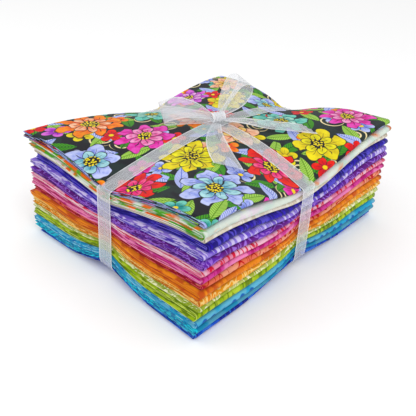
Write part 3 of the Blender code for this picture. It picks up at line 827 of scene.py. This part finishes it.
# The large blossoms: centre from the middle of the top in mm, radius, petals and which colours. Each
# lies over those before it.
BLOSSOMS = (
    ((-84, 112), 31, 7, 6),
    ((84, 118), 32, 8, 2),
    ((-12, 108), 30, 6, 4),
    ((92, 50), 30, 6, 0),
    ((-92, 44), 32, 8, 7),
    ((38, 62), 33, 7, 3),
    ((-42, 62), 29, 5, 0),
    ((84, -16), 34, 8, 5),
    ((-84, -22), 34, 6, 3),
    ((28, 0), 28, 5, 6),
    ((-28, -4), 31, 8, 1),
    ((30, -66), 36, 8, 0),
    ((-34, -70), 34, 7, 2),
    ((84, -92), 37, 7, 4),
    ((-92, -92), 36, 8, 1),
    ((-34, -128), 28, 5, 4),
    ((28, -130), 29, 8, 5),
)
# The rings of a large blossom, the outer one first: how far each reaches in radii, and its turn
PETAL_RINGS = ((0.92, 0.4), (0.58, 1.97))
# The leaves: spacing, shift, length and width in mm, and their deep and pale dyes
LEAVES = (
    (34, 5, 34, 13, "#1c4a22", "#4f9a34"),
    (38, 71, 36, 12, "#5c8a24", "#a9d26a"),
    (50, 133, 40, 12, "#6f7fd0", "#c8d0f8"),
)
# How far a petal's outline wanders round and outwards, as if drawn by hand
WAY_DRIFT = 0.8
FAR_DRIFT = 0.24


def floral_cotton():
    """The same matt cotton, printed with a generic floral in saturated dyes on near black."""
    material, tree, surface = new_material("printed_quilting_cotton_floral")
    place = cloth_place(tree)
    grainy = {"Vector": shifted(tree, place, 5, 1.0), "Scale": 1.0, "Detail": 2.0}
    grain = add(tree, NOISE, grainy)[0]
    parts = add(tree, "ShaderNodeSeparateXYZ", (place,))
    middle = TOP_LAYER_START + FOLD_WIDTH / MM / 2
    x = add(tree, "SUBTRACT", (middle, parts["X"]))[0]
    x = add(tree, "WRAP", (x, PRINT_REPEAT / 2, -PRINT_REPEAT / 2))[0]
    x, y, half_petals, share = nearest_blossom(tree, x, parts["Y"])
    square = add(tree, "MULTIPLY", (x, x))[0]
    square = add(tree, "MULTIPLY_ADD", (y, y, square))[0]
    far = add(tree, "SQRT", (square,))[0]
    way = add(tree, "ARCTAN2", (y, x))[0]
    drifting = {"Vector": shifted(tree, place, 15, 4.0), "Scale": 1.0, "Detail": 1.0}
    drift = add(tree, NOISE, drifting)[0]
    way = add(tree, "SUBTRACT", (way, WAY_DRIFT / 2))[0]
    way = add(tree, "MULTIPLY_ADD", (drift, WAY_DRIFT, way))[0]
    far = add(tree, "SUBTRACT", (far, FAR_DRIFT / 2))[0]
    far = add(tree, "MULTIPLY_ADD", (drift, FAR_DRIFT, far))[0]
    far = add(tree, "MAXIMUM", (far, 0.0))[0]
    dyes = [petal_colour(tree, share, which) for which in range(4)]
    seeds = {"Vector": shifted(tree, place, 2.6, 0.0), "Scale": 1.0}
    seeds = add(tree, "ShaderNodeTexVoronoi", seeds, voronoi_dimensions="2D")["Distance"]
    washes = patches(tree, place, 30, 0.5, 2.0)
    colour = painted(tree, linear(GROUND), linear("#1b2a29"), washes)
    colour = curls(tree, place, colour, 46, 11, 5.5, "#f3e3b4")
    for leaf in LEAVES:
        colour = leaves(tree, place, colour, *leaf)
    colour = small_blossoms(tree, place, colour, 40, 19, 13, grain)
    for number, ring in enumerate(PETAL_RINGS):
        pair = dyes[2 * number : 2 * number + 2]
        colour = ring_of_petals(tree, colour, far, way, half_petals, *ring, grain, *pair)
    # Yellow seeds on black at each blossom's heart
    hearts = painted(tree, linear("#f6e04a"), linear(GROUND), cut_off(tree, seeds, 0.3, 0.42))
    colour = painted(tree, colour, hearts, cut_off(tree, far, 0.25, 0.21))
    finish_cotton(tree, surface, place, cut_edges(tree, place, colour, "#131623", "#aab6ec", 20))
    return material


fold_cut("floral", 0.90, (3.0, 0.4, -2.2, 2.8), floral_cotton(), stations=60, rows=60, tip=5.0)

# Band along X, the first turn of the ribbon. It is sheer white organza, 7/8 inch (22 mm) wide, woven
# from fine twisted yarn with denser selvedges. It is drawn flat round the stack, a little gathered.
RIBBON_WIDTH = 22 * MM
RIBBON_THICKNESS = 0.22 * MM
RIBBON_ROWS = 25
RIBBON_PLEATS = 3
YARN_PITCH = 0.8 * MM
SELVEDGE = (9.9 * MM, 10.4 * MM)  # from the ribbon's middle
SELVEDGE_COVER = 0.52
# What a yarn's gap and its top cover, and what its slubs add
YARN_COVER = (0.15, 0.22)
SLUB_COVER = 0.2
SLUB_SCALE = (30.0, 900.0, 0.0)  # slubs to a metre, which run long and lie close across the ribbon


def organza(name, painted_glow):
    """Sheer organza: white yarn with open gaps, milky over the cloth and bright at its selvedges.

    Its yarns lie 0.25 mm apart, too fine to show, so the open weave is drawn at 0.8 mm. Its glow is
    painted light: white emission of this strength, standing in for the light that real organza would pass
    on from behind and from the layers beside it.
    """
    material, tree, surface = new_material(name)
    laid_flat = add(tree, "ShaderNodeUVMap", uv_map="UVMap")[0]
    selvedge = cut_off(tree, off_middle(tree, laid_flat), *SELVEDGE)
    yarn = add(tree, "MAXIMUM", thread_waves(tree, laid_flat, YARN_PITCH))[0]
    streaked = add(tree, "ShaderNodeVectorMath", (laid_flat, SLUB_SCALE), operation="MULTIPLY")[0]
    slubs = add(tree, NOISE, {"Vector": streaked, "Scale": 1.0, "Detail": 2.0})[0]
    gap, full = YARN_COVER
    woven = {"Value": yarn, "From Min": -1.0, "To Min": gap, "To Max": full}
    cover = add(tree, "ShaderNodeMapRange", woven)[0]
    dense = add(tree, "MULTIPLY_ADD", (slubs, SLUB_COVER, cover))[0]
    raised = {"Height": yarn, "Strength": 0.1, "Distance": 0.1 * MM}
    fill(tree, surface, {
        "Base Color": painted(tree, linear("#d6d9df"), linear("#eef0f4"), selvedge),
        "Alpha": add(tree, "ShaderNodeMix", {0: selvedge, 2: dense, 3: SELVEDGE_COVER})[0],
        "Normal": add(tree, "ShaderNodeBump", raised)[0],
        "Roughness": 0.5,
        "Sheen Weight": 0.3,
        "Sheen Roughness": 0.4,
        # Painted glow: white emission, light that no lamp in the scene gives
        "Emission Color": linear("#ffffff"),
        "Emission Strength": painted_glow,
    })
    return material


# The plain ribbon has a faint painted glow: white emission of strength 0.05
ORGANZA = organza("white_organza", 0.05)


def lay_ribbon(name, middle, across, lift, pleats=RIBBON_PLEATS, material=ORGANZA):
    """A length of the ribbon on a course, still without its thickness."""
    laid = (middle, across, lift, RIBBON_ROWS, pleats, RIBBON_WIDTH, material)
    return lay_sheet("organza_" + name, *laid)


def finish_ribbon(piece, name):
    thicken(piece, RIBBON_THICKNESS)
    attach(piece, "root")
    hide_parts(name)


BAND_WIDTH = 17.5 * MM
BAND_SIDE_REACH = 1.4 * MM
BAND_SKIN = 0.5 * MM
BAND_PLEAT_DEPTH = 0.22 * MM
BAND_CHAMFER = 3 * MM
# It lies flat over this share of the stack's width, and hangs straight between these of its height
BAND_TOP_SHARE = 0.97
BAND_SIDE_SHARES = (0.95, 0.09)
BAND_FOOT = (0.3 * MM, 0.03)  # how far out it turns under, and at what share of the height
BAND_TOP_POINTS = 29
BAND_SIDE_POINTS = 13


def rounded(corners):
    """Rounds the corners of a closed course: cuts a quarter off both ends of each side, twice."""
    for _ in range(2):
        ahead = np.roll(corners, -1, axis=0)
        cut = np.stack((corners * 0.75 + ahead * 0.25, corners * 0.25 + ahead * 0.75), axis=1)
        corners = cut.reshape(-1, corners.shape[1])
    return corners


def band_course(axis, stand_off):
    """Flat-stack course of a band: over the top, down a side, under the stack and up again."""
    half = (FOLD_WIDTH if axis == 0 else FOLD_DEPTH) / 2
    turn = half + BAND_SIDE_REACH
    level = np.linspace(-half * BAND_TOP_SHARE, half * BAND_TOP_SHARE, BAND_TOP_POINTS)
    along = np.concatenate((level, [turn - BAND_CHAMFER]))
    top = [(a, 1.0, stand_off(a)) for a in along]
    side = [(turn, 1.0, BAND_SKIN)]
    side += [(turn, share, 0.0) for share in np.linspace(*BAND_SIDE_SHARES, BAND_SIDE_POINTS)]
    side += [(half + BAND_FOOT[0], BAND_FOOT[1], 0.0), (half - BAND_CHAMFER, 0.0, -BAND_SKIN)]
    under = [(a, 0.0, -BAND_SKIN) for a in along[-2:0:-1]]
    back = [(-a, share, lift) for a, share, lift in side[::-1]]
    return rounded(np.array(top + side + under + back))


def unit(vectors):
    return vectors / np.linalg.norm(vectors, axis=-1, keepdims=True)


def band(name, axis, stand_off):
    """One turn round the stack. Stand-off is how far it lies over the top at each place."""
    course = band_course(axis, stand_off)
    course = np.concatenate((course, course[:1]))

    def edge(off):
        flat = np.zeros((len(course), 3))
        flat[:, axis] = course[:, 0]
        flat[:, 1 - axis] = off
        flat[:, 2] = course[:, 1] * STACK_HEIGHT
        placed = tied(flat)
        placed[:, 2] = np.maximum(placed[:, 2] + course[:, 2], RIBBON_THICKNESS)
        return placed

    left = edge(-BAND_WIDTH / 2)
    right = edge(BAND_WIDTH / 2)
    middle = (left + right) / 2
    # Over the top its middle follows the cloth
    middle[:, 2] = np.where(course[:, 1] > 0.5, edge(0.0)[:, 2], middle[:, 2])
    ahead = np.roll(middle[:-1], -1, axis=0) - np.roll(middle[:-1], 1, axis=0)
    ahead = np.concatenate((ahead, ahead[:1]))
    lift = unit(np.cross(right - left, ahead)) * BAND_PLEAT_DEPTH
    piece, length = lay_ribbon(name, middle, right - left, lift)
    finish_ribbon(piece, "ribbon_" + name)


band("band_x", 0, lambda along: BAND_SKIN)

# Band along Y, the second turn. It is the same sheer ribbon, and crosses over the first turn on the
# top, where it stands off by that one's thickness and slack.
CROSSING_REACH = 40 * MM
CROSSING_RISE = 0.8 * MM
band("band_y", 1, lambda along: BAND_SKIN + CROSSING_RISE * math.exp(-((along / CROSSING_REACH) ** 2)))

# Knot, where the two bands are tied: the same ribbon, wound tightly twice round the crossing. It is
# gathered there to about half its width, so it is denser than elsewhere. It is whiter only by a stronger
# painted glow, white emission that lifts it out of its own shade.
KNOT_SIZE = np.array((17, 15, 10)) * MM
KNOT_SEAT = 3.1 * MM
KNOT_CENTRE = tied(np.array(((0.0, 0.0, STACK_HEIGHT),)))[0] + (0, 0, KNOT_SEAT + KNOT_SIZE[2] / 2)
KNOT_AXIS = unit(np.array((0.38, 0.92, 0.1)))
KNOT_TURNS = 2.2
KNOT_POINTS = 56
KNOT_RADII = (5.2 * MM, 4.6 * MM)
KNOT_SWELLING = (0.78, 1.06)  # in those radii, from its first turn to its last
KNOT_WIDTH = 12 * MM
KNOT_SLANT = 0.18
KNOT_PLEATS = 4
KNOT_PLEAT_DEPTH = 0.7 * MM
# A brighter copy of the organza for the knot: its stronger emission is painted light, not a property of
# the cloth
GATHERED_ORGANZA_PAINTED_GLOW = organza("white_organza_gathered_painted_glow", 0.2)

turns = np.linspace(0, KNOT_TURNS * 2 * math.pi, KNOT_POINTS)
knot_side = unit(np.cross(KNOT_AXIS, (0, 0, 1.0)))
knot_up = np.cross(knot_side, KNOT_AXIS)
swelling = np.linspace(*KNOT_SWELLING, KNOT_POINTS)[:, None]
sideways = np.cos(turns)[:, None] * knot_side * KNOT_RADII[0]
upwards = np.sin(turns)[:, None] * knot_up * KNOT_RADII[1]
knot_course = KNOT_CENTRE + swelling * (sideways + upwards)
knot_across = np.tile(KNOT_AXIS * KNOT_WIDTH, (KNOT_POINTS, 1)) + KNOT_SLANT * KNOT_WIDTH * knot_side
knot_lift = unit(knot_course - KNOT_CENTRE) * KNOT_PLEAT_DEPTH
knot, knot_length = lay_ribbon("knot", knot_course, knot_across, knot_lift, KNOT_PLEATS, GATHERED_ORGANZA_PAINTED_GLOW)
finish_ribbon(knot, "ribbon_knot")

# Two bow loops, each a length of the ribbon that leaves the knot, turns over at its far end and comes
# back, gathered where it goes into the knot. Each point of their course is how far out from the knot,
# how far to the side and how far up it is in mm, and the share of the width that is spread there.
LOOP_COURSE = (
    (0.0, -1.2, 0.0, 0.36),
    (12.0, -5.0, 0.0, 0.64),
    (30.0, -8.0, 0.0, 0.95),
    (45.5, -6.0, 0.0, 1.0),
    (50.0, 0.0, 0.0, 1.0),
    (45.5, 6.0, 1.5, 1.0),
    (30.0, 10.0, 4.5, 0.98),
    (12.0, 7.0, 3.0, 0.72),
    (0.0, 1.2, 0.0, 0.36),
)
LOOP_SEAT = 0.75  # where a loop leaves the knot, as a share of the way from its middle to its skin
ROUTE_STEPS = 9
BOW_CLEARANCE = 0.8 * MM
BACK_STEPS = 12


def smooth_route(points):
    """A smooth curve through given points, with some steps between each two."""
    points = np.asarray(points, dtype=float)
    ends = np.concatenate(([2 * points[0] - points[1]], points, [2 * points[-1] - points[-2]]))
    route = []
    for before, start, stop, after in zip(ends, ends[1:], ends[2:], ends[3:]):
        for step in range(ROUTE_STEPS):
            t = step / ROUTE_STEPS
            pull = (stop - before) * t + (2 * before - 5 * start + 4 * stop - after) * t**2
            route.append(start + (pull + (3 * start - before - 3 * stop + after) * t**3) / 2)
    return np.array(route + [points[-1]])


def top_height(x, y):
    """Height of the top cloth at these plan places, found by stepping back to the flat stack."""
    flat = np.stack((x, y, np.full(len(x), STACK_HEIGHT)), axis=1)
    for _ in range(BACK_STEPS):
        off = tied(flat)
        flat[:, 0] += x - off[:, 0]
        flat[:, 1] += y - off[:, 1]
    return tied(flat)[:, 2]


def kept_above(piece):
    """Lifts what would go into the top cloth."""
    places = points_of(piece)
    floor = top_height(places[:, 0], places[:, 1]) + BOW_CLEARANCE
    places[:, 2] = np.maximum(places[:, 2], floor)
    move_points(piece, places)


def gathered(widths):
    """How deep the pleats of the ribbon are where it is drawn in to these widths."""
    spare = np.clip(4 * (RIBBON_WIDTH / widths - 1), 0, 3.0)
    return widths / RIBBON_PLEATS / (2 * math.pi) * np.sqrt(spare)


def free_ribbon(name, middle, width_way, spreads):
    """A free length of ribbon, with its width's direction and its spread at each point."""
    widths = RIBBON_WIDTH * spreads
    out = unit(np.cross(width_way, np.gradient(middle, axis=0)))
    lift = out * gathered(widths)[:, None]
    piece, length = lay_ribbon(name, middle, width_way * widths[:, None], lift)
    kept_above(piece)
    finish_ribbon(piece, "ribbon_" + name)


def bow_loop(name, out_way, width_way, twist):
    """The twist is how far the ribbon has turned about the loop's own line at its far end."""
    out = unit(np.array(out_way))
    across = unit(np.array(width_way))
    side = unit(np.cross(across, out))
    route = smooth_route(LOOP_COURSE)
    root = KNOT_CENTRE + out / np.sqrt(np.sum((2 * out / KNOT_SIZE) ** 2)) * LOOP_SEAT
    middle = root + route[:, :1] * MM * out + route[:, 1:2] * MM * side
    middle[:, 2] += route[:, 2] * MM
    turned = math.radians(twist) * np.sin(np.linspace(0, math.pi, len(route)))[:, None] ** 2
    width_ways = np.cos(turned) * across + np.sin(turned) * side
    free_ribbon(name, middle, width_ways, route[:, 3])


bow_loop("loop_left", (-0.70, -0.71, 0.04), (-0.60, 0.20, 0.77), 0.0)
bow_loop("loop_back", (-0.12, 0.88, 0.41), (0.92, -0.12, -0.12), -15.0)

# Two loose ends that lie over the top from the knot, each cut off on the slant. Each point of their
# course is its plan place and its height above the cloth in mm, and the share of the width spread.
TAIL_COURSES = {
    "tail_front": (
        (1.0, 1.0, 5.5, 0.36),
        (10.0, -11.0, 2.6, 0.66),
        (24.0, -24.0, 1.4, 0.91),
        (43.0, -38.5, 1.4, 1.0),
        (62.0, -51.0, 1.4, 1.0),
    ),
    "tail_right": (
        (0.0, 12.6, 6.0, 0.36),
        (13.0, 28.0, 5.0, 0.73),
        (31.0, 43.0, 3.6, 1.0),
        (50.0, 58.0, 2.6, 1.0),
        (66.0, 68.0, 1.6, 0.91),
    ),
}
TAIL_SLANTS = {"tail_front": -17 * MM, "tail_right": 16 * MM}
SLANTED_SHARE = 0.35


def tail(name):
    """A loose end on its own course, cut off on the slant."""
    route = smooth_route(TAIL_COURSES[name])
    middle = route[:, :3] * MM
    middle[:, 2] += top_height(middle[:, 0], middle[:, 1])
    ahead = unit(np.gradient(middle, axis=0))
    across = unit(np.cross(ahead, (0, 0, 1.0)))
    last_part = np.clip((np.linspace(0, 1, len(route)) - 1 + SLANTED_SHARE) / SLANTED_SHARE, 0, 1)
    widths = RIBBON_WIDTH * route[:, 3:4]
    slanted = across + ahead * (TAIL_SLANTS[name] * last_part[:, None] / widths)
    free_ribbon(name, middle, slanted, route[:, 3])


tail("tail_front")
tail("tail_right")

# The set: a floor of matt backdrop paper, which stays an even white without a highlight, a bright even
# sky, and two large soft lamps, a stronger one over the right and a weaker one over the front left.
HALF_FLOOR = 6.0
floor_mesh = bpy.data.meshes.new("floor")
floor_corners = [(x * HALF_FLOOR, y * HALF_FLOOR, 0) for x, y in ((-1, -1), (1, -1), (1, 1), (-1, 1))]
floor_mesh.from_pydata(floor_corners, [], [(0, 1, 2, 3)])
floor_paper, paper_tree, paper = new_material("matt_white_backdrop_paper")
matt_white = {"Base Color": linear("#fafafa"), "Roughness": 0.9, "Specular IOR Level": 0.0}
fill(paper_tree, paper, matt_white)
floor_mesh.materials.append(floor_paper)
floor = bpy.data.objects.new("floor", floor_mesh)
bpy.context.scene.collection.objects.link(floor)

SKY_STRENGTH = 0.93
sky = bpy.data.worlds.new("studio")
sky.use_nodes = True
background = sky.node_tree.nodes["Background"]
fill(sky.node_tree, background, {"Color": linear("#ffffff"), "Strength": SKY_STRENGTH})
bpy.context.scene.world = sky
bpy.context.scene.view_settings.view_transform = "Standard"


def soft_lamp(name, place, size, power):
    """A square lamp that points at the bundle. Place and size in metres, power in watts."""
    lamp = bpy.data.lights.new(name, "AREA")
    lamp.size = size
    lamp.energy = power
    light = bpy.data.objects.new(name, lamp)
    light.location = place
    light.rotation_euler = (-Vector(place)).to_track_quat("-Z", "Y").to_euler()
    bpy.context.scene.collection.objects.link(light)


soft_lamp("key", (0.9, -0.5, 1.3), 1.0, 7.0)
soft_lamp("fill", (-0.9, -1.0, 0.9), 1.0, 3.0)

# The camera, at the photograph's angle: aim point, distance, lens and roll are those that put the
# stack's corners where the photograph has them.
CAMERA_AZIMUTH = math.radians(41.79)
CAMERA_ELEVATION = math.radians(30.15)
CAMERA_ROLL = math.radians(2.01)
CAMERA_DISTANCE = 0.598
CAMERA_AIM = np.array((-0.0030, -0.0027, 0.0154))
SENSOR_WIDTH = 36.0  # mm
FOCAL_SHARE = 561 / 416  # focal length over the frame's width, both in pixels of the photograph
right = np.array((math.cos(CAMERA_AZIMUTH), math.sin(CAMERA_AZIMUTH), 0.0))
back = np.array((
    math.sin(CAMERA_AZIMUTH) * math.cos(CAMERA_ELEVATION),
    -math.cos(CAMERA_AZIMUTH) * math.cos(CAMERA_ELEVATION),
    math.sin(CAMERA_ELEVATION),
))
up = np.cross(back, right)
rolled_right = right * math.cos(CAMERA_ROLL) + up * math.sin(CAMERA_ROLL)
rolled_up = up * math.cos(CAMERA_ROLL) - right * math.sin(CAMERA_ROLL)
camera_data = bpy.data.cameras.new("camera")
camera_data.sensor_width = SENSOR_WIDTH
camera_data.lens = SENSOR_WIDTH * FOCAL_SHARE
camera = bpy.data.objects.new("camera", camera_data)
stand = CAMERA_AIM + back * CAMERA_DISTANCE
turn = Matrix((rolled_right, rolled_up, back)).transposed()
camera.matrix_world = Matrix.Translation(Vector(stand)) @ turn.to_4x4()
bpy.context.scene.collection.objects.link(camera)
bpy.context.scene.camera = camera
